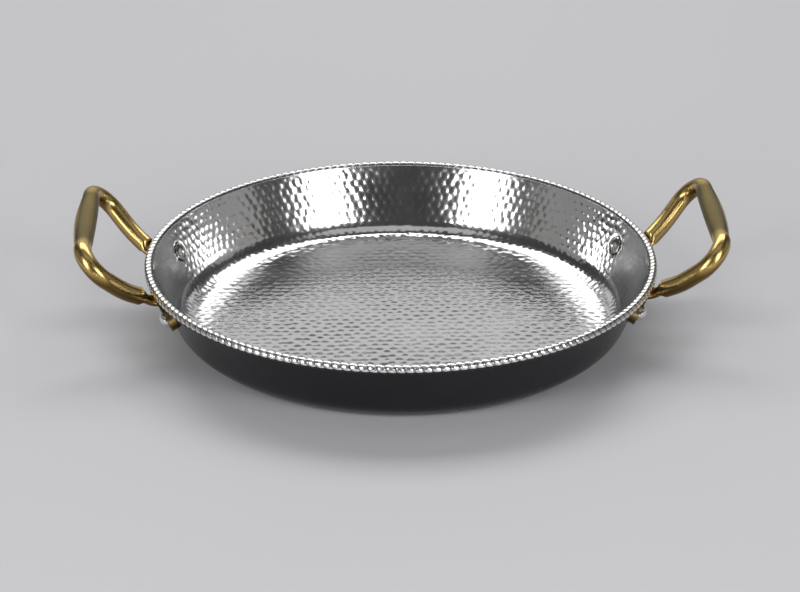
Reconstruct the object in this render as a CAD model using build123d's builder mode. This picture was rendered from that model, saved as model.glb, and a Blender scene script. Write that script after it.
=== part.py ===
from build123d import *
import os
from math import acos, asin, atan2, cos, degrees, radians, sin, sqrt, tan

# Shallow round cooking pan: a pressed steel dish with a rolled rim, and two bent rod
# handles whose flattened feet are riveted to the wall.
# Millimetres. Origin at the middle of the underside, +Z up, handles at +X and -X.

# Dish
rim_radius = 130.0            # outside of the rolled rim
pan_height = 36.5             # table to the top of the rim
sheet = 1.2                   # thickness of the steel
floor_radius = 102.5          # flat part of the floor
corner_radius = 13.0          # inside of the bend between floor and wall
bead_diameter = 4.8           # outside of the rolled rim
curl_gap = 0.4                # cut edge of the curl to the wall

# Rivets
rivet_azimuth = 19.2          # each rivet from its handle's middle, in degrees about Z
rivet_height = 22.6           # rivet axis at the outside of the wall, above the table
rivet_diameter = 5.0
rivet_clearance = 0.05        # shank to hole, on the radius
inner_head_diameter = 9.4
inner_head_height = 2.1
outer_head_diameter = 8.4
outer_head_height = 3.1
head_edge = 0.6               # straight side of a head, below its dome
seat_clearance = 0.02         # head to what it is pressed on

# Handles
rod_diameter = 9.0
foot_thickness = 3.4
foot_seat = 0.05              # foot to wall
foot_width = 13.0             # round end of the foot, about the rivet
root_width = 9.6              # narrower end of the foot, under the rod
root_height = 27.2            # middle of the narrow end on the wall, above the table
neck_width = 9.8              # flattened rod between the foot and the shoulder
neck_depth = 5.2
shoulder_length = 2.4         # from the flattened neck out to the round rod
rod_clearance = 0.25          # line of the rod's skin to the rolled rim
rod_under = 42.0              # that place from the rolled rim, in degrees below level
leg_spread = 59.0             # between one handle's two legs, where the rim passes them
leg_splay = 38.0              # of a leg's first stretch, in degrees outwards, seen from above
leg_slope = 29.0              # of that stretch, in degrees above level
leg_run = 12.5                # length of that stretch, to the leg's slight upward bend
leg_bend_radius = 60.0
grip_reach = 27.8             # middle of the grip outside the rim
grip_height = 57.0            # middle of the grip above the table
grip_spread = 105.0           # between the points where the legs' lines meet the grip's
grip_bend_radius = 11.5
grip_length = 58.0            # part of the rod that is pressed to an oval
grip_width = 11.2             # oval in the middle of the grip
grip_depth = 7.8
grip_bow = 0.7                # middle of the grip outside the line of its ends

# The wall's section touches the floor bend on one side and the rim's curl on the other.
bend_outer = corner_radius + sheet
bead_radius = bead_diameter / 2
bead_inner = bead_radius - sheet
bend_centre = Vector(floor_radius, bend_outer)
bead_centre = Vector(rim_radius - bead_radius, pan_height - bead_radius)
between = bead_centre - bend_centre
wall_angle = degrees(
    atan2(between.Y, between.X) + asin((bend_outer + bead_inner) / between.length)
)
wall_along = Vector(cos(radians(wall_angle)), sin(radians(wall_angle)))
wall_out = Vector(wall_along.Y, -wall_along.X)
curl_start = wall_angle + 90
curl_end = curl_start + degrees(acos((bead_inner - curl_gap) / bead_radius)) - 360


def on_circle(centre, radius, angle):
    """Point of a circle in the section, by its angle in degrees."""
    return centre + Vector(radius, 0).rotate(Axis.Z, angle)


wall_foot = on_circle(bend_centre, bend_outer, wall_angle - 90)


def section_point(height, out):
    """Point of the section at a height up the wall, and a distance out of its outer face."""
    up = (height - wall_foot.Y) / wall_along.Y
    return wall_foot + wall_along * up + wall_out * out


def wall_frame(azimuth, height):
    """Plane on the outer face of the wall: x around the pan, y up the wall, z out of it."""
    point = section_point(height, 0)
    origin = Vector(point.X, 0, point.Y).rotate(Axis.Z, azimuth)
    around = Vector(0, 1, 0).rotate(Axis.Z, azimuth)
    out = Vector(wall_out.X, 0, wall_out.Y).rotate(Axis.Z, azimuth)
    return Plane(origin=origin, x_dir=around, z_dir=out)


foot_outside = foot_seat + foot_thickness
rivet_hole_radius = rivet_diameter / 2 + rivet_clearance
rivet_frame = wall_frame(rivet_azimuth, rivet_height)

# The neck ends just outside and below the rolled rim, in line with the leg.
leg_direction = Vector(cos(radians(leg_slope)), 0, sin(radians(leg_slope))).rotate(Axis.Z, leg_splay)
bead_beside = Vector(sqrt(bead_centre.X**2 - (leg_spread / 2) ** 2), leg_spread / 2, bead_centre.Y)
bead_outwards = Vector(bead_beside.X, bead_beside.Y, 0).normalized()
from_bead = bead_outwards * cos(radians(rod_under)) - Vector(0, 0, sin(radians(rod_under)))
neck_end = bead_beside + from_bead * (bead_radius + rod_clearance + rod_diameter / 2)
leg_start = neck_end + leg_direction * shoulder_length
leg_knee = neck_end + leg_direction * leg_run
grip_corner = Vector(rim_radius + grip_reach, grip_spread / 2, grip_height)
grip_start = Vector(grip_corner.X, grip_length / 2, grip_height)
leg_level = Vector(0, 1, 0).rotate(Axis.Z, leg_splay)
neck_top = Plane(origin=neck_end, x_dir=leg_level, z_dir=leg_direction)
rod_end = neck_top.offset(shoulder_length)

# The foot's narrow end and the neck stand where the leg meets the wall.
root_azimuth = degrees(atan2(neck_end.Y, neck_end.X))
root_frame = wall_frame(root_azimuth, root_height)
neck_start = root_frame.offset(foot_outside / 2)

with BuildPart() as pan_shell:
    with BuildSketch(Plane.XZ):
        with BuildLine():
            Line((0, 0), bend_centre - (0, bend_outer))
            CenterArc(bend_centre, bend_outer, -90, wall_angle)
            Line(wall_foot, on_circle(bead_centre, bead_inner, curl_start))
            CenterArc(bead_centre, bead_inner, curl_start, curl_end - curl_start)
            Line(
                on_circle(bead_centre, bead_inner, curl_end),
                on_circle(bead_centre, bead_radius, curl_end),
            )
            CenterArc(bead_centre, bead_radius, curl_end, curl_start - curl_end)
            Line(
                on_circle(bead_centre, bead_radius, curl_start),
                on_circle(bend_centre, corner_radius, wall_angle - 90),
            )
            CenterArc(bend_centre, corner_radius, wall_angle - 90, -wall_angle)
            Line(bend_centre - (0, corner_radius), (0, sheet))
            Line((0, sheet), (0, 0))
        make_face()
    revolve(axis=Axis.Z)
    for azimuth in (rivet_azimuth, -rivet_azimuth, 180 - rivet_azimuth, 180 + rivet_azimuth):
        with Locations(wall_frame(azimuth, rivet_height).offset(sheet)):
            Hole(rivet_hole_radius, depth=3 * sheet)

pan_shell.part.label = "pan_shell"
os.makedirs("parts", exist_ok=True)
export_step(pan_shell.part, "parts/pan_shell.step")

# One half of the handle at +X without its grip: a flat foot curved to the wall, the neck,
# the shoulder, and the round rod up to where the grip starts.
with BuildPart() as leg:
    with BuildSketch(Plane.XZ):
        with BuildLine():
            Polyline(
                section_point(wall_foot.Y, foot_seat),
                section_point(wall_foot.Y, foot_outside),
                section_point(bead_centre.Y, foot_outside),
                section_point(bead_centre.Y, foot_seat),
                close=True,
            )
        make_face()
    revolve(axis=Axis.Z)
    with BuildSketch(rivet_frame.offset(-foot_outside)):
        Circle(foot_width / 2)
        root_place = rivet_frame.to_local_coords(root_frame.origin)
        with Locations((root_place.X, root_place.Y)):
            Circle(root_width / 2)
        make_hull()
    extrude(amount=3 * foot_outside, mode=Mode.INTERSECT)

    turn = leg_direction.get_angle(neck_start.z_dir)
    chord = neck_end - neck_start.origin
    middle_direction = (leg_direction + neck_start.z_dir).normalized()
    sag = (neck_start.z_dir - leg_direction).normalized() * (
        chord.length / 2 * tan(radians(turn / 4))
    )
    neck_middle = Plane(
        origin=neck_start.origin + chord / 2 + sag,
        x_dir=(neck_start.x_dir + leg_level).normalized(),
        z_dir=middle_direction,
    )
    with BuildSketch(neck_start, neck_middle, neck_top):
        Ellipse(neck_width / 2, neck_depth / 2)
    loft()
    with BuildSketch(neck_top):
        Ellipse(neck_width / 2, neck_depth / 2)
    with BuildSketch(rod_end):
        Circle(rod_diameter / 2)
    loft(ruled=True)
    with BuildLine():
        FilletPolyline(
            leg_start,
            leg_knee,
            grip_corner,
            grip_start,
            radius=[leg_bend_radius, grip_bend_radius],
        )
    with BuildSketch(rod_end):
        Circle(rod_diameter / 2)
    sweep()

with BuildPart() as handle_right:
    add(leg.part)
    mirror(leg.part, about=Plane.XZ)
    for along, bow, width, depth in (
        (-grip_length / 2, 0, rod_diameter, rod_diameter),
        (0, grip_bow, grip_width, grip_depth),
        (grip_length / 2, 0, rod_diameter, rod_diameter),
    ):
        with BuildSketch(Plane.XZ.offset(along)):
            with Locations((grip_corner.X + bow, grip_height)):
                Ellipse(width / 2, depth / 2)
    loft()
    for azimuth in (rivet_azimuth, -rivet_azimuth):
        with Locations(wall_frame(azimuth, rivet_height).offset(2 * foot_outside)):
            Hole(rivet_hole_radius, depth=3 * foot_outside)
handle_right.part.label = "handle_right"
export_step(handle_right.part, "parts/handle_right.step")

with BuildPart() as handle_left:
    mirror(handle_right.part, about=Plane.YZ)
handle_left.part.label = "handle_left"
export_step(handle_left.part, "parts/handle_left.step")

# A rivet's flat inner head bears on the hollow side of the round wall, at its edge.
head_hollow = (inner_head_diameter / 2) ** 2 / (2 * rivet_frame.origin.length)
inner_seat = sheet + head_hollow + seat_clearance
outer_seat = foot_outside + seat_clearance


def rivet_profile(seat, head_radius, head_height, side):
    """Half section of a shank and one domed head; side is 1 inside the pan, -1 outside."""
    base = Vector(0, side * seat)
    up = Vector(0, side)
    edge = Vector(head_radius, 0)
    with BuildLine() as outline:
        dome = TangentArc(base + up * head_height, base + up * head_edge + edge, tangent=(1, 0))
        Polyline(dome @ 1, base + edge, base + (rivet_diameter / 2, 0))
        Polyline(base + (rivet_diameter / 2, 0), (rivet_diameter / 2, 0), (0, 0), dome @ 0)
    return outline.wire()


for name, azimuth in (
    ("rivet_right_back", rivet_azimuth),
    ("rivet_right_front", -rivet_azimuth),
    ("rivet_left_back", 180 - rivet_azimuth),
    ("rivet_left_front", 180 + rivet_azimuth),
):
    frame = wall_frame(azimuth, rivet_height)
    with BuildPart() as rivet:
        with BuildSketch(Plane(origin=frame.origin, x_dir=frame.x_dir, z_dir=frame.y_dir)):
            make_face(
                rivet_profile(inner_seat, inner_head_diameter / 2, inner_head_height, 1).edges()
            )
            make_face(
                rivet_profile(outer_seat, outer_head_diameter / 2, outer_head_height, -1).edges()
            )
        revolve(axis=Axis(frame.origin, frame.z_dir))
    rivet.part.label = name
    export_step(rivet.part, f"parts/{name}.step")
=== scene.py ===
# %% [markdown]
# A shallow hammered pan with gold handles
#
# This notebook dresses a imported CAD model: a round steel pan, two bent rod handles and
# four rivets. The CAD gives every size, and the cells below give the looks: a hammered
# inside, a roped rim, brass-coloured rods and a soft studio.

# %% Load the frame
from math import acos, asin, atan2, cos, degrees, hypot, pi, radians, sin, sqrt
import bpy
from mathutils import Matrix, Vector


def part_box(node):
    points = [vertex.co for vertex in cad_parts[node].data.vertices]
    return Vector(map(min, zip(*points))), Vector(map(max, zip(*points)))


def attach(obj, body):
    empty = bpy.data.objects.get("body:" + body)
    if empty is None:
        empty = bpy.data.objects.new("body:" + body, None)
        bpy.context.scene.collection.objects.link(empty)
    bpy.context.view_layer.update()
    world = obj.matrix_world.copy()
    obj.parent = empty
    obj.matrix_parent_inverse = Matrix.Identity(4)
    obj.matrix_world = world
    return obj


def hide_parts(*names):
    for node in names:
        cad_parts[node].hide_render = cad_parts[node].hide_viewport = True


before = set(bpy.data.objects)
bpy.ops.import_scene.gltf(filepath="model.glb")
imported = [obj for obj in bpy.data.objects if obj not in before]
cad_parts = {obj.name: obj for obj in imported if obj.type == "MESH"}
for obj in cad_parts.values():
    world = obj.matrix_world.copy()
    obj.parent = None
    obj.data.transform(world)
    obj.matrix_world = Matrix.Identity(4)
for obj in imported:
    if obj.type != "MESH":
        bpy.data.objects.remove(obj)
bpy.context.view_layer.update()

from types import SimpleNamespace

import bmesh
import bpy
import numpy as np
from mathutils import Matrix, Vector

MM = 0.001
print("nodes", sorted(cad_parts))

# %% [markdown]
# The camera comes first, because every later choice is judged through it. The lens is
# long and stands about one and a half metres away, a little above the pan, so the rim
# shows as a wide ellipse. The pan is turned a touch, so the camera stands a little to
# one side of its middle.

# %% Camera
LENS_MM = 128.25
CAMERA_DISTANCE = 1.461
CAMERA_ELEVATION = radians(25.05)
CAMERA_TURN = radians(1.97)
AIM_ABOVE = radians(0.4925)
AIM_ASIDE = radians(0.017)
CLIP_START = 0.05

camera_data = bpy.data.cameras.new("camera")
camera_data.lens = LENS_MM
camera_data.clip_start = CLIP_START
camera = bpy.data.objects.new("camera", camera_data)
bpy.context.scene.collection.objects.link(camera)
camera.location = Matrix.Rotation(-CAMERA_TURN, 3, "Z") @ Vector(
    (0, -CAMERA_DISTANCE * cos(CAMERA_ELEVATION), CAMERA_DISTANCE * sin(CAMERA_ELEVATION))
)
camera.rotation_euler = (pi / 2 - CAMERA_ELEVATION + AIM_ABOVE, 0, AIM_ASIDE - CAMERA_TURN)
bpy.context.scene.camera = camera
print("camera", [round(v, 3) for v in camera.location])

# %% [markdown]
# The sizes of the dish are the CAD's. Its section has a flat floor, a bend, a straight
# flared wall and a rim that is rolled outwards into a small tube, the bead. The overall
# radius and height are read from the frame, and the others are the sheet's own sizes.

# %% Sizes of the dish
pan_high = Vector(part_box("pan_shell")[1])
rim_radius = pan_high.x
pan_height = pan_high.z
SHEET = 1.2 * MM
FLOOR_RADIUS = 102.5 * MM
CORNER_RADIUS = 13.0 * MM
BEAD_RADIUS = 2.4 * MM
CURL_GAP = 0.4 * MM
bend_outer = CORNER_RADIUS + SHEET
bead_inner = BEAD_RADIUS - SHEET
bend_centre = Vector((FLOOR_RADIUS, bend_outer))
bead_centre = Vector((rim_radius - BEAD_RADIUS, pan_height - BEAD_RADIUS))
between = bead_centre - bend_centre
wall_angle = atan2(between.y, between.x) + asin((bend_outer + bead_inner) / between.length)
wall_along = Vector((cos(wall_angle), sin(wall_angle)))
wall_out = Vector((wall_along.y, -wall_along.x))
print("rim radius", round(rim_radius / MM, 1), "wall angle", round(degrees(wall_angle), 1))


def on_circle(centre, radius, angle):
    """Point of a circle in the section, which is radius across and height up."""
    return centre + radius * Vector((cos(angle), sin(angle)))


def arc(centre, radius, start, end, steps):
    """Points along an arc of the section, both ends included."""
    return [on_circle(centre, radius, start + (end - start) * i / steps) for i in range(steps + 1)]


def stretch(start, end, steps):
    """Points along a straight stretch of the section, without its last one."""
    return [start.lerp(end, i / steps) for i in range(steps)]


# %% [markdown]
# The wall and the rim are solids of revolution, so each is drawn as a section first. A
# spin turns the section through an eighth of a circle, and copies of that slice, turned
# and doubled three times, close the circle. That is much faster than one long spin.
# Corners stay crisp where two skins meet at a steep angle.

# %% Mesh helpers
SLICES = 8
MERGE_WITHIN = 0.005 * MM
SHARP_FROM = radians(40)


def spin_section(name, points, steps, closed):
    """A mesh made by turning a line of (radius, height) points about the Z axis."""
    mesh = bmesh.new()
    verts = [mesh.verts.new((p.x, 0, p.y)) for p in points]
    pairs = list(zip(verts, verts[1:]))
    if closed:
        pairs.append((verts[-1], verts[0]))
    edges = [mesh.edges.new(pair) for pair in pairs]
    bmesh.ops.spin(
        mesh,
        geom=verts + edges,
        cent=(0, 0, 0),
        axis=(0, 0, 1),
        angle=2 * pi / SLICES,
        steps=steps // SLICES,
        use_merge=False,
    )
    for turn in (pi / 4, pi / 2, pi):
        slice_now = mesh.verts[:] + mesh.edges[:] + mesh.faces[:]
        copy = bmesh.ops.duplicate(mesh, geom=slice_now)["geom"]
        copied_verts = [part for part in copy if isinstance(part, bmesh.types.BMVert)]
        turned = Matrix.Rotation(turn, 3, "Z")
        bmesh.ops.rotate(mesh, verts=copied_verts, cent=(0, 0, 0), matrix=turned)
    bmesh.ops.remove_doubles(mesh, verts=mesh.verts, dist=MERGE_WITHIN)
    bmesh.ops.recalc_face_normals(mesh, faces=mesh.faces)
    for face in mesh.faces:
        face.smooth = True
    print(name, len(mesh.verts), "points", len(mesh.faces), "faces")
    return mesh


def mark_sharp(mesh):
    """Marks the steep edges, which don't shade smoothly."""
    for edge in mesh.edges:
        edge.smooth = edge.calc_face_angle(0) < SHARP_FROM


def finish_piece(name, mesh, materials):
    """Turns a bmesh into an object that rides on the body."""
    data = bpy.data.meshes.new(name)
    mesh.to_mesh(data)
    mesh.free()
    for material in materials:
        data.materials.append(material)
    piece = bpy.data.objects.new(name, data)
    bpy.context.scene.collection.objects.link(piece)
    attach(piece, "root")
    return piece


# %% [markdown]
# Materials are node trees. These helpers add a node, set its constants and join sockets,
# so that the cells that follow read as short recipes. An effect that several finishes
# share is a node group with named inputs and outputs.

# %% Node helpers
def add(tree, kind, **settings):
    """Adds a node; settings are its own properties."""
    node = tree.nodes.new(kind)
    for key, value in settings.items():
        setattr(node, key, value)
    return node


def feed(tree, socket, value):
    """Joins a socket to another socket, or sets its constant."""
    if isinstance(value, bpy.types.NodeSocket):
        tree.links.new(value, socket)
    else:
        socket.default_value = value


def maths(tree, operation, *values):
    """A Math node's result."""
    node = add(tree, "ShaderNodeMath", operation=operation)
    for socket, value in zip(node.inputs, values):
        feed(tree, socket, value)
    return node.outputs[0]


def spread(tree, value, low, high, to_low, to_high):
    """A smooth step from one value to another."""
    node = add(tree, "ShaderNodeMapRange", interpolation_type="SMOOTHSTEP")
    for socket, number in zip(node.inputs, (value, low, high, to_low, to_high)):
        feed(tree, socket, number)
    return node.outputs[0]


def blend_colours(tree, factor, first, second):
    """A mix of two colours."""
    node = add(tree, "ShaderNodeMix", data_type="RGBA")
    feed(tree, node.inputs["Factor"], factor)
    feed(tree, node.inputs[6], first)
    feed(tree, node.inputs[7], second)
    return node.outputs[2]


def new_group(name, inputs, outputs):
    """A shader node group with value, vector or colour sockets."""
    tree = bpy.data.node_groups.new(name, "ShaderNodeTree")
    for label, kind, value in inputs:
        socket = tree.interface.new_socket(name=label, in_out="INPUT", socket_type=kind)
        if value is not None:
            socket.default_value = value
    for label, kind in outputs:
        tree.interface.new_socket(name=label, in_out="OUTPUT", socket_type=kind)
    return tree, add(tree, "NodeGroupInput").outputs, add(tree, "NodeGroupOutput").inputs


def use_group(tree, group, **values):
    """Places a group; a value is named by its socket, with _ for a space."""
    node = add(tree, "ShaderNodeGroup", node_tree=group)
    for key, value in values.items():
        feed(tree, node.inputs[key.replace("_", " ")], value)
    return node.outputs


def new_material(name, metallic):
    """A material with one Principled BSDF; gives the material, its tree and the shader."""
    material = bpy.data.materials.new(name)
    material.use_nodes = True
    tree = material.node_tree
    tree.nodes.clear()
    shader = add(tree, "ShaderNodeBsdfPrincipled")
    shader.inputs["Metallic"].default_value = metallic
    output = add(tree, "ShaderNodeOutputMaterial")
    tree.links.new(shader.outputs[0], output.inputs["Surface"])
    return material, tree, shader


# %% [markdown]
# Use leaves every metal a little uneven. This group gives a soft cloud for handling
# marks and a finer one for the grain of the polish, to be mixed into colour, roughness
# and a very low bump.

# %% Handling marks
wear_group, given, result = new_group(
    "handling_marks",
    [
        ("Place", "NodeSocketVector", None),
        ("Cloud Size", "NodeSocketFloat", 20 * MM),
        ("Grain Size", "NodeSocketFloat", 0.6 * MM),
    ],
    [("Cloud", "NodeSocketFloat"), ("Grain", "NodeSocketFloat")],
)
for label, detail in (("Cloud", 3.0), ("Grain", 2.0)):
    noise = add(wear_group, "ShaderNodeTexNoise")
    noise.inputs["Detail"].default_value = detail
    feed(wear_group, noise.inputs["Vector"], given["Place"])
    feed(wear_group, noise.inputs["Scale"], maths(wear_group, "DIVIDE", 1.0, given[label + " Size"]))
    feed(wear_group, result[label], noise.outputs[0])
print("group", wear_group.name)


def grain_bump(tree, shader, grain, height):
    """A very low bump from the grain of the polish."""
    bump = add(tree, "ShaderNodeBump")
    bump.inputs["Distance"].default_value = 1.0
    feed(tree, bump.inputs["Height"], maths(tree, "MULTIPLY", grain, height))
    feed(tree, shader.inputs["Normal"], bump.outputs[0])



# %% [markdown]
# The inside of the pan is bright steel. Its hammering is real shape and comes with the
# mesh, so the material has only the polish, its grain, and a dark ring of painted shade
# round each rivet head, where head and sheet meet. The four rivets mirror one another, so
# the distance to one of them, with x and y made positive, serves for all.

# %% Hammered steel
RIVET_AZIMUTH = radians(19.2)
RIVET_HEIGHT = 22.6 * MM
HEAD_RADIUS = 4.7 * MM
RIVET_SHADE_FULL = HEAD_RADIUS + 0.3 * MM
RIVET_SHADE_END = HEAD_RADIUS + 0.9 * MM
RIVET_SHADE = (0.05, 0.048, 0.045, 1)
wall_foot_in = on_circle(bend_centre, CORNER_RADIUS, wall_angle - pi / 2)
wall_foot_out = on_circle(bend_centre, bend_outer, wall_angle - pi / 2)
seat = wall_foot_in + wall_along * ((RIVET_HEIGHT - wall_foot_out.y) / wall_along.y)
rivet_seat = (seat.x * cos(RIVET_AZIMUTH), seat.x * sin(RIVET_AZIMUTH), seat.y)

hammered_steel, tree, shader = new_material("hammered_steel_inside", 1.0)
place = add(tree, "ShaderNodeTexCoord").outputs["Object"]
mirrored = add(tree, "ShaderNodeVectorMath", operation="ABSOLUTE")
feed(tree, mirrored.inputs[0], place)
reach = add(tree, "ShaderNodeVectorMath", operation="DISTANCE")
feed(tree, reach.inputs[0], mirrored.outputs[0])
reach.inputs[1].default_value = rivet_seat
# Painted shade: a near-black ring round each rivet head.
rivet_ring_shade = spread(tree, reach.outputs["Value"], RIVET_SHADE_FULL, RIVET_SHADE_END, 1.0, 0.0)
wear = use_group(tree, wear_group, Place=place, Cloud_Size=35 * MM, Grain_Size=0.5 * MM)
bright = blend_colours(tree, wear["Cloud"], (0.68, 0.685, 0.69, 1), (0.84, 0.84, 0.83, 1))
feed(tree, shader.inputs["Base Color"], blend_colours(tree, rivet_ring_shade, bright, RIVET_SHADE))
feed(tree, shader.inputs["Roughness"], spread(tree, wear["Cloud"], 0.3, 0.7, 0.12, 0.19))
grain_bump(tree, shader, wear["Grain"], 0.004 * MM)
print("material", hammered_steel.name)

# %% [markdown]
# The outside was left smooth and polished. Its colour is painted nearly black, as painted
# shade, so that it stays dark over the pale table; the floor's and the bead's undersides get it too.

# %% Polished steel, painted dark as shade
shaded_outside_steel, tree, shader = new_material("shaded_steel_outside", 1.0)
place = add(tree, "ShaderNodeTexCoord").outputs["Object"]
wear = use_group(tree, wear_group, Place=place, Cloud_Size=45 * MM, Grain_Size=0.8 * MM)
# Painted shade: a near-black colour for all the outside steel.
outside_shade_colour = blend_colours(tree, wear["Cloud"], (0.042, 0.043, 0.046, 1), (0.066, 0.066, 0.070, 1))
feed(tree, shader.inputs["Base Color"], outside_shade_colour)
feed(tree, shader.inputs["Roughness"], spread(tree, wear["Cloud"], 0.3, 0.7, 0.20, 0.30))
grain_bump(tree, shader, wear["Grain"], 0.006 * MM)
print("material", shaded_outside_steel.name)

# %% [markdown]
# A hammer leaves small round hollows that nearly touch. The blows are laid out as a
# staggered grid, each moved a little at random, and the square of the distance to the
# nearest blow is the shape of a shallow bowl. Two bowls meet in a crisp ridge. On the
# wall the grid closes after a whole number of blows, so it has no seam.

# %% Hammer blows
FLOOR_BLOWS = (5.6 * MM, 4.3 * MM)
WALL_BLOWS = (4.5 * MM, 4.1 * MM)
WALL_MID_RADIUS = 118 * MM
SCATTER = 0.42
SCATTER_WAVES = (127.1, 311.7, 74.7)
SCATTER_GAIN = 43758.5453


def scatter(column, row, salt):
    """A repeatable random number from -0.5 to 0.5 for each blow."""
    wave = column * SCATTER_WAVES[0] + row * SCATTER_WAVES[1] + salt * SCATTER_WAVES[2]
    number = np.sin(wave) * SCATTER_GAIN
    return number - np.floor(number) - 0.5


def squared_reach(across, along, pitch, columns_round=None):
    """Squared distance from each place to the nearest blow of a staggered grid."""
    nearest = np.full(across.shape, np.inf)
    home_row = np.floor(along / pitch[1])
    for row in (home_row - 1, home_row, home_row + 1):
        shift = 0.5 * (row % 2)
        home = np.floor(across / pitch[0] - shift)
        for column in (home - 1, home, home + 1):
            own = column % columns_round if columns_round else column
            blow_across = (column + 0.5 + shift + SCATTER * scatter(own, row, 1)) * pitch[0]
            blow_along = (row + 0.5 + SCATTER * scatter(own, row, 2)) * pitch[1]
            squared = (across - blow_across) ** 2 + (along - blow_along) ** 2
            nearest = np.minimum(nearest, squared)
    return nearest


def step(values, low, high):
    """A smooth step from 0 to 1, for whole arrays."""
    share = np.clip((values - low) / (high - low), 0, 1)
    return share * share * (3 - 2 * share)


# %% [markdown]
# To hammer a mesh, each point is first placed on the section: is it on the floor or the
# wall, on which skin of the sheet, and how far along? Between floor and wall lies the
# bend, where a point sinks away from the bend's centre.

# %% Places on the section
def unroll(places):
    """Where each point lies, and which way it sinks into the sheet."""
    radius = np.hypot(places[:, 0], places[:, 1])
    bend_x, bend_z = radius - bend_centre.x, places[:, 2] - bend_centre.y
    from_bend = np.hypot(bend_x, bend_z)
    up = bend_x * wall_along.x + bend_z * wall_along.y
    out = bend_x * wall_out.x + bend_z * wall_out.y
    on_floor = radius <= FLOOR_RADIUS
    on_wall = (up > 0) & ~on_floor
    middle_skin = CORNER_RADIUS + SHEET / 2
    inside = np.where(on_wall, out, from_bend) < middle_skin
    turned = np.arctan2(bend_z, bend_x) + pi / 2
    return SimpleNamespace(
        radius=radius,
        around=np.arctan2(places[:, 1], places[:, 0]),
        up=up,
        on_floor=on_floor,
        inside=np.where(on_floor, places[:, 2] > SHEET / 2, inside),
        length=np.where(on_wall, CORNER_RADIUS * wall_angle + up, CORNER_RADIUS * turned),
        sink_x=np.where(on_wall, wall_out.x, np.where(on_floor, 0, bend_x / from_bend)),
        sink_z=np.where(on_wall, wall_out.y, np.where(on_floor, -1, bend_z / from_bend)),
    )


# %% [markdown]
# The depth of a mark is a bowl's, cut off where it would stand out of the sheet. The
# marks are shallower in the bend, and faint between the rivets of a handle, where the
# wall was pressed flat.

# %% Depth of the marks
BOWL_FLOOR = 0.026 / MM
BOWL_WALL = 0.032 / MM
DEEPEST = 0.16 * MM
GRIDS_MEET = (FLOOR_RADIUS + 1.5 * MM, FLOOR_RADIUS + 4.5 * MM)
BEND_END = CORNER_RADIUS * wall_angle
BEND_START = (0.2 * BEND_END, 0.5 * BEND_END)
BEND_FADE = (BEND_END, 1.3 * BEND_END)
BEND_SHARE = 0.55
BETWEEN_RIVETS_SHARE = 0.25
BETWEEN_RIVETS = (RIVET_AZIMUTH - 0.12, RIVET_AZIMUTH)


def blow_depth(places, at):
    """Depth of the bowls, on the floor's grid of blows and on the wall's."""
    columns_round = round(2 * pi * WALL_MID_RADIUS / WALL_BLOWS[0])
    pitch = (2 * pi * WALL_MID_RADIUS / columns_round, WALL_BLOWS[1])
    floor_bowl = BOWL_FLOOR * squared_reach(places[:, 0], places[:, 1], FLOOR_BLOWS)
    wall_across = at.around * WALL_MID_RADIUS
    wall_bowl = BOWL_WALL * squared_reach(wall_across, at.length, pitch, columns_round)
    to_wall = np.where(at.on_floor, 0, step(at.radius, *GRIDS_MEET))
    bowl = floor_bowl + (wall_bowl - floor_bowl) * to_wall
    return np.maximum(DEEPEST - bowl, 0)


def blow_share(places, at):
    """1 where the marks are full, and less in the bend and between two rivets."""
    in_bend = step(at.length, *BEND_START) * (1 - step(at.length, *BEND_FADE))
    share = 1 - (1 - BEND_SHARE) * in_bend
    from_handle = np.abs(np.arctan2(places[:, 1], np.abs(places[:, 0])))
    pressed = 1 - step(from_handle, *BETWEEN_RIVETS)
    pressed *= step(at.length, BEND_START[1], BEND_END)
    share *= 1 - (1 - BETWEEN_RIVETS_SHARE) * pressed
    return np.where(at.on_floor, 1, share)


# %% [markdown]
# Every point of the inner skin then sinks into the sheet by that depth. Round each rivet
# there are no marks, and a ring of the sheet is sunk under the head. The marks also end
# just below the rim.

# %% Hammering a mesh
RING_DEPTH = 0.2 * MM
RING_FADE = (HEAD_RADIUS + 0.5 * MM, HEAD_RADIUS + 1.5 * MM)
MARKS_FROM = (HEAD_RADIUS + 1.6 * MM, HEAD_RADIUS + 3 * MM)
BELOW_RIM = (1.5 * MM, 0.6 * MM)


def hammer(data):
    """Moves the points of a mesh's inner skin; the rest of it stays."""
    flat = np.empty(len(data.vertices) * 3)
    data.vertices.foreach_get("co", flat)
    places = flat.reshape(-1, 3)
    at = unroll(places)
    depth = blow_depth(places, at) * blow_share(places, at)
    from_rivet = np.linalg.norm(np.abs(places) - np.array(rivet_seat), axis=1)
    depth *= step(from_rivet, *MARKS_FROM)
    depth += RING_DEPTH * (1 - step(from_rivet, *RING_FADE))
    depth *= 1 - step(at.up, wall_length - BELOW_RIM[0], wall_length - BELOW_RIM[1])
    depth *= at.inside
    places[:, 0] += depth * at.sink_x * np.cos(at.around)
    places[:, 1] += depth * at.sink_x * np.sin(at.around)
    places[:, 2] += depth * at.sink_z
    data.vertices.foreach_set("co", places.ravel())
    data.update()
    print(data.name, "deepest", round(depth.max() / MM, 2), "mm")


# %% [markdown]
# The sheet is made as two closed pieces that meet at the edge of the flat floor. The
# floor starts as a square grid that is pushed round, so that all its faces are about the
# same size, which a spun disc can't have. Its border is pulled down, then half way in and
# to a point in the middle, which gives the underside.

# %% Pan floor
FLOOR_CELLS = 296
UNDERSIDE_RINGS = (1, 0.5)
FACES_UP = 0.5

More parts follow.
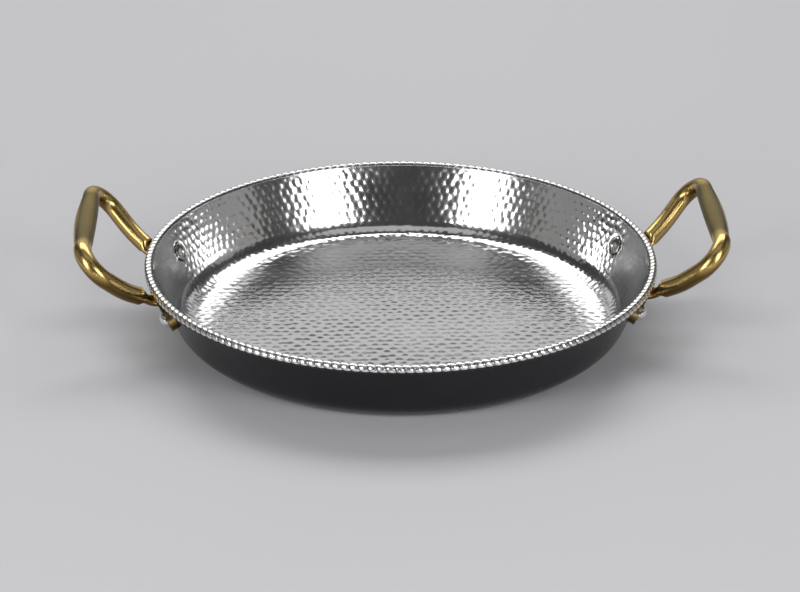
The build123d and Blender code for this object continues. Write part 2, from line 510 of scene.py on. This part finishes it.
floor_mesh = bmesh.new()
bmesh.ops.create_grid(floor_mesh, x_segments=FLOOR_CELLS, y_segments=FLOOR_CELLS, size=1)
for vert in floor_mesh.verts:
    x, y = vert.co.x, vert.co.y
    vert.co = (FLOOR_RADIUS * x * sqrt(1 - y * y / 2), FLOOR_RADIUS * y * sqrt(1 - x * x / 2), SHEET)
border = [edge for edge in floor_mesh.edges if edge.is_boundary]
for share in UNDERSIDE_RINGS:
    grown = bmesh.ops.extrude_edge_only(floor_mesh, edges=border)["geom"]
    border = [part for part in grown if isinstance(part, bmesh.types.BMEdge) and part.is_boundary]
    for vert in {vert for edge in border for vert in edge.verts}:
        around = atan2(vert.co.y, vert.co.x)
        vert.co = (share * FLOOR_RADIUS * cos(around), share * FLOOR_RADIUS * sin(around), 0)
middle = bmesh.ops.extrude_edge_only(floor_mesh, edges=border)["geom"]
middle = [part for part in middle if isinstance(part, bmesh.types.BMVert)]
bmesh.ops.pointmerge(floor_mesh, verts=middle, merge_co=(0, 0, 0))
bmesh.ops.recalc_face_normals(floor_mesh, faces=floor_mesh.faces)
for face in floor_mesh.faces:
    face.smooth = True
    face.material_index = 0 if face.normal.z > FACES_UP else 1
mark_sharp(floor_mesh)
pan_floor = finish_piece("pan_floor", floor_mesh, [hammered_steel, shaded_outside_steel])
print("pan_floor", len(pan_floor.data.polygons), "faces")

# %% [markdown]
# The wall is a closed ring, spun from its section: up the bend and the inner face with
# points close together, over the top, down the outside, and back through the sheet.

# %% Pan wall
WALL_STEPS = 1152
INNER_BEND_STEPS, INNER_STEPS = 24, 38
OUTER_STEPS, OUTER_BEND_STEPS = 5, 8
curl_start = wall_angle + pi / 2
wall_top_in = on_circle(bead_centre, BEAD_RADIUS, curl_start)
wall_top_out = on_circle(bead_centre, bead_inner, curl_start)
wall_length = (wall_top_in - wall_foot_in).length
section = arc(bend_centre, CORNER_RADIUS, -pi / 2, wall_angle - pi / 2, INNER_BEND_STEPS)[:-1]
section += stretch(wall_foot_in, wall_top_in, INNER_STEPS) + [wall_top_in]
section += stretch(wall_top_out, wall_foot_out, OUTER_STEPS)
section += arc(bend_centre, bend_outer, wall_angle - pi / 2, -pi / 2, OUTER_BEND_STEPS)
wall_mesh = spin_section("pan_wall", section, WALL_STEPS, closed=True)
for face in wall_mesh.faces:
    middle = face.calc_center_median()
    across, rise = hypot(middle.x, middle.y) - bend_centre.x, middle.z - bend_centre.y
    up = across * wall_along.x + rise * wall_along.y
    skin = across * wall_out.x + rise * wall_out.y if up > 0 else hypot(across, rise)
    face.material_index = 0 if skin < CORNER_RADIUS + SHEET / 2 else 1
mark_sharp(wall_mesh)
pan_wall = finish_piece("pan_wall", wall_mesh, [hammered_steel, shaded_outside_steel])
for piece in (pan_floor, pan_wall):
    hammer(piece.data)

# %% [markdown]
# The rim is the same sheet, rolled outwards and knurled like a rope. It is made as a
# second spun piece with many steps round, and then each point of its outer skin is moved
# in by a formula: rounded lobes with narrow valleys between them, slightly slanted. The
# knurling fades out on the side that faces the food, where a smooth, shallow groove frames
# the hammering. An attribute marks the valleys and the groove, and the material paints
# them darker as painted shade.

# %% Roped rim
FLUTES = 192
STEPS_PER_FLUTE = 8
FLUTE_DEPTH = 0.42 * MM
FLUTE_SLANT = 1.6
ROPE_START = radians(136)
ROPE_FADE = radians(8)
GROOVE_DEPTH = 0.35 * MM
ROPE_OUTER_STEPS = 26
ROPE_INNER_STEPS = 8
ANGLE_SLACK = 0.01
BRIGHT_FROM = radians(-8)
BRIGHT_TO = radians(170)


def ramp(value, low, high):
    """0 below low, 1 above high, and a straight rise between them."""
    return min(1, max(0, (value - low) / (high - low)))


curl_end = curl_start + acos((bead_inner - CURL_GAP) / BEAD_RADIUS) - 2 * pi
rope_section = arc(bead_centre, BEAD_RADIUS, curl_start, curl_end, ROPE_OUTER_STEPS)
rope_section += arc(bead_centre, bead_inner, curl_end, curl_start, ROPE_INNER_STEPS)
rope = spin_section("roped_rim", rope_section, FLUTES * STEPS_PER_FLUTE, closed=True)
painted_rope_shade_layer = rope.verts.layers.float.new("painted_rope_shade")
for vert in rope.verts:
    radius = hypot(vert.co.x, vert.co.y)
    from_centre = Vector((radius, vert.co.z)) - bead_centre
    if from_centre.length < BEAD_RADIUS - SHEET / 2:
        continue
    across = atan2(from_centre.y, from_centre.x)
    if across < curl_end + ANGLE_SLACK:
        across += 2 * pi
    knurl = ramp(ROPE_START - across, 0, ROPE_FADE)
    groove = ramp(across, ROPE_START - ROPE_FADE, ROPE_START) * ramp(curl_start - across, 0, ROPE_FADE)
    around = atan2(vert.co.y, vert.co.x)
    lobe = abs(cos((FLUTES * around + FLUTE_SLANT * across) / 2))
    # Painted shade mask: the knurl's valleys and the groove.
    vert[painted_rope_shade_layer] = max(groove, knurl * (1 - lobe))
    inwards = from_centre.normalized() * (FLUTE_DEPTH * knurl * (1 - lobe) + GROOVE_DEPTH * groove)
    vert.co.x -= inwards.x * cos(around)
    vert.co.y -= inwards.x * sin(around)
    vert.co.z -= inwards.y

rope_steel, tree, shader = new_material("rope_steel", 1.0)
place = add(tree, "ShaderNodeTexCoord").outputs["Object"]
wear = use_group(tree, wear_group, Place=place, Cloud_Size=12 * MM, Grain_Size=0.5 * MM)
painted_rope_shade = add(tree, "ShaderNodeAttribute", attribute_name="painted_rope_shade").outputs["Fac"]
painted_rope_shade = spread(tree, painted_rope_shade, 0.3, 0.95, 0.0, 1.0)
bright = blend_colours(tree, wear["Cloud"], (0.76, 0.76, 0.75, 1), (0.90, 0.90, 0.88, 1))
# Painted shade: valleys and groove are mixed towards dark grey.
feed(tree, shader.inputs["Base Color"], blend_colours(tree, painted_rope_shade, bright, (0.26, 0.26, 0.26, 1)))
feed(tree, shader.inputs["Roughness"], spread(tree, wear["Grain"], 0.3, 0.7, 0.20, 0.32))

# Painted shade: faces outside this band, the underside of the bead, get the near-black outside steel.
for face in rope.faces:
    middle = face.calc_center_median()
    from_centre = Vector((hypot(middle.x, middle.y), middle.z)) - bead_centre
    above = atan2(from_centre.y, from_centre.x)
    face.material_index = 0 if BRIGHT_FROM < above < BRIGHT_TO else 1
roped_rim = finish_piece("roped_rim", rope, [rope_steel, shaded_outside_steel])
for piece in (pan_floor, pan_wall, roped_rim):
    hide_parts("pan_shell")

# %% [markdown]
# The handles are solid rods of a gold-coloured metal. The legs are polished, and the
# grip, which hands have rubbed, is satin and a little browner, but for a bright line on
# its outside. The undersides get painted shade, a darker brown. The CAD's shape is right, so the node
# keeps its mesh and gets this material.

# %% Brass rods
GRIP_HALF = 29 * MM
GRIP_INSIDE = 151 * MM
GRIP_FADE = 7 * MM
FADE = 2 * MM
SATIN_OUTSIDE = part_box("handle_right")[1][0] - 2.6 * MM
SATIN_FADE = 1.2 * MM
brass, tree, shader = new_material("brass_rod", 1.0)
place = add(tree, "ShaderNodeTexCoord").outputs["Object"]
split = add(tree, "ShaderNodeSeparateXYZ")
feed(tree, split.inputs[0], place)
across = maths(tree, "ABSOLUTE", split.outputs["X"])
along = maths(tree, "ABSOLUTE", split.outputs["Y"])
gripped = spread(tree, along, GRIP_HALF - FADE, GRIP_HALF + GRIP_FADE, 1.0, 0.0)
past_legs = spread(tree, across, GRIP_INSIDE, GRIP_INSIDE + FADE, 0.0, 1.0)
rubbed_bright = spread(tree, across, SATIN_OUTSIDE, SATIN_OUTSIDE + SATIN_FADE, 1.0, 0.0)
gripped = maths(tree, "MULTIPLY", gripped, past_legs)
gripped = maths(tree, "MULTIPLY", gripped, rubbed_bright)
wear = use_group(tree, wear_group, Place=place, Cloud_Size=14 * MM, Grain_Size=0.35 * MM)
polished = blend_colours(tree, wear["Cloud"], (0.50, 0.335, 0.105, 1), (0.66, 0.49, 0.20, 1))
satin = blend_colours(tree, wear["Cloud"], (0.125, 0.094, 0.028, 1), (0.195, 0.152, 0.052, 1))
# Painted shade: the downward-facing sides of the rods are mixed towards dark brown.
facing = add(tree, "ShaderNodeSeparateXYZ")
feed(tree, facing.inputs[0], add(tree, "ShaderNodeTexCoord").outputs["Normal"])
painted_underside_shade = spread(tree, facing.outputs["Z"], -0.45, 0.25, 1.0, 0.0)
polished = blend_colours(tree, painted_underside_shade, polished, (0.17, 0.10, 0.028, 1))
feed(tree, shader.inputs["Base Color"], blend_colours(tree, gripped, polished, satin))
sheen = spread(tree, wear["Grain"], 0.3, 0.7, 0.0, 0.06)
matt = spread(tree, gripped, 0.0, 1.0, 0.24, 0.38)
feed(tree, shader.inputs["Roughness"], maths(tree, "ADD", sheen, matt))
grain_bump(tree, shader, wear["Grain"], 0.008 * MM)


def dress(node_name, material):
    """Gives a CAD node a new material in place of its own."""
    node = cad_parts[node_name]
    for slot in node.material_slots:
        slot.material = material
    print(node_name, len(node.data.polygons), "triangles")


for name in ("handle_left", "handle_right"):
    dress(name, brass)

# %% [markdown]
# The rivets are steel. Their domes were struck once and left bright, with a fine grain.

# %% Rivets
rivet_steel, tree, shader = new_material("rivet_steel", 1.0)
place = add(tree, "ShaderNodeTexCoord").outputs["Object"]
wear = use_group(tree, wear_group, Place=place, Cloud_Size=4 * MM, Grain_Size=0.4 * MM)
bright = blend_colours(tree, wear["Cloud"], (0.78, 0.77, 0.74, 1), (0.90, 0.89, 0.86, 1))
feed(tree, shader.inputs["Base Color"], bright)
feed(tree, shader.inputs["Roughness"], spread(tree, wear["Cloud"], 0.3, 0.7, 0.10, 0.18))
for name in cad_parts:
    if name.startswith("rivet"):
        dress(name, rivet_steel)

# %% [markdown]
# The stage is a plain pale table top, large enough to fill the picture at every low view.

# %% Table top
TABLE_SIZE = 30.0
top_mesh = bmesh.new()
bmesh.ops.create_grid(top_mesh, x_segments=1, y_segments=1, size=TABLE_SIZE / 2)
top_data = bpy.data.meshes.new("table_top")
top_mesh.to_mesh(top_data)
top_mesh.free()
table_top = bpy.data.objects.new("table_top", top_data)
bpy.context.scene.collection.objects.link(table_top)
pale, tree, shader = new_material("pale_table", 0.0)
place = add(tree, "ShaderNodeTexCoord").outputs["Object"]
wear = use_group(tree, wear_group, Place=place, Cloud_Size=600 * MM, Grain_Size=2 * MM)
cool_grey = blend_colours(tree, wear["Cloud"], (0.60, 0.60, 0.62, 1), (0.64, 0.64, 0.66, 1))
feed(tree, shader.inputs["Base Color"], cool_grey)
shader.inputs["Roughness"].default_value = 0.6
top_data.materials.append(pale)
print("table", TABLE_SIZE, "m wide")

# %% [markdown]
# The light is a soft studio. Bright metal shows mostly what it mirrors, so each light
# stands where a part of the pan mirrors it: a broad one behind and above for the floor, a
# low one behind for the bend, two softboxes in front for the back wall, a low strip in
# front, and a weak one on each side. The room itself is dim and even.

# %% Lights
def softbox(name, azimuth, elevation, distance, width, height, power):
    """An area light that looks at the pan; azimuth 0 is behind the pan, degrees clockwise."""
    data = bpy.data.lights.new(name, "AREA")
    data.shape = "RECTANGLE"
    data.size = width
    data.size_y = height
    data.energy = power
    light = bpy.data.objects.new(name, data)
    bpy.context.scene.collection.objects.link(light)
    turn, rise = radians(azimuth), radians(elevation)
    direction = Vector((sin(turn) * cos(rise), cos(turn) * cos(rise), sin(rise)))
    light.location = direction * distance
    light.rotation_euler = direction.to_track_quat("Z", "Y").to_euler()
    print(name, "at", [round(v, 2) for v in light.location])


softbox("light_behind", 0, 52, 1.8, 2.0, 0.85, 19)
softbox("light_low_behind", 0, 19, 2.0, 2.6, 0.75, 3.6)
softbox("light_above", 180, 82, 1.6, 1.6, 0.7, 1.6)
softbox("light_front_left", 226, 25, 1.6, 0.5, 0.95, 11)
softbox("light_front_right", 142, 25, 1.6, 0.56, 0.95, 11)
softbox("light_low_front", 180, 1, 1.7, 1.0, 0.12, 1.6)
softbox("light_side_left", 275, 18, 1.7, 1.2, 0.7, 0.6)
softbox("light_side_right", 85, 18, 1.7, 1.2, 0.7, 0.7)

world = bpy.data.worlds.new("room")
world.use_nodes = True
background = world.node_tree.nodes["Background"]
background.inputs["Color"].default_value = (0.5, 0.5, 0.53, 1)
background.inputs["Strength"].default_value = 0.10
bpy.context.scene.world = world
bpy.context.scene.view_settings.view_transform = "Standard"
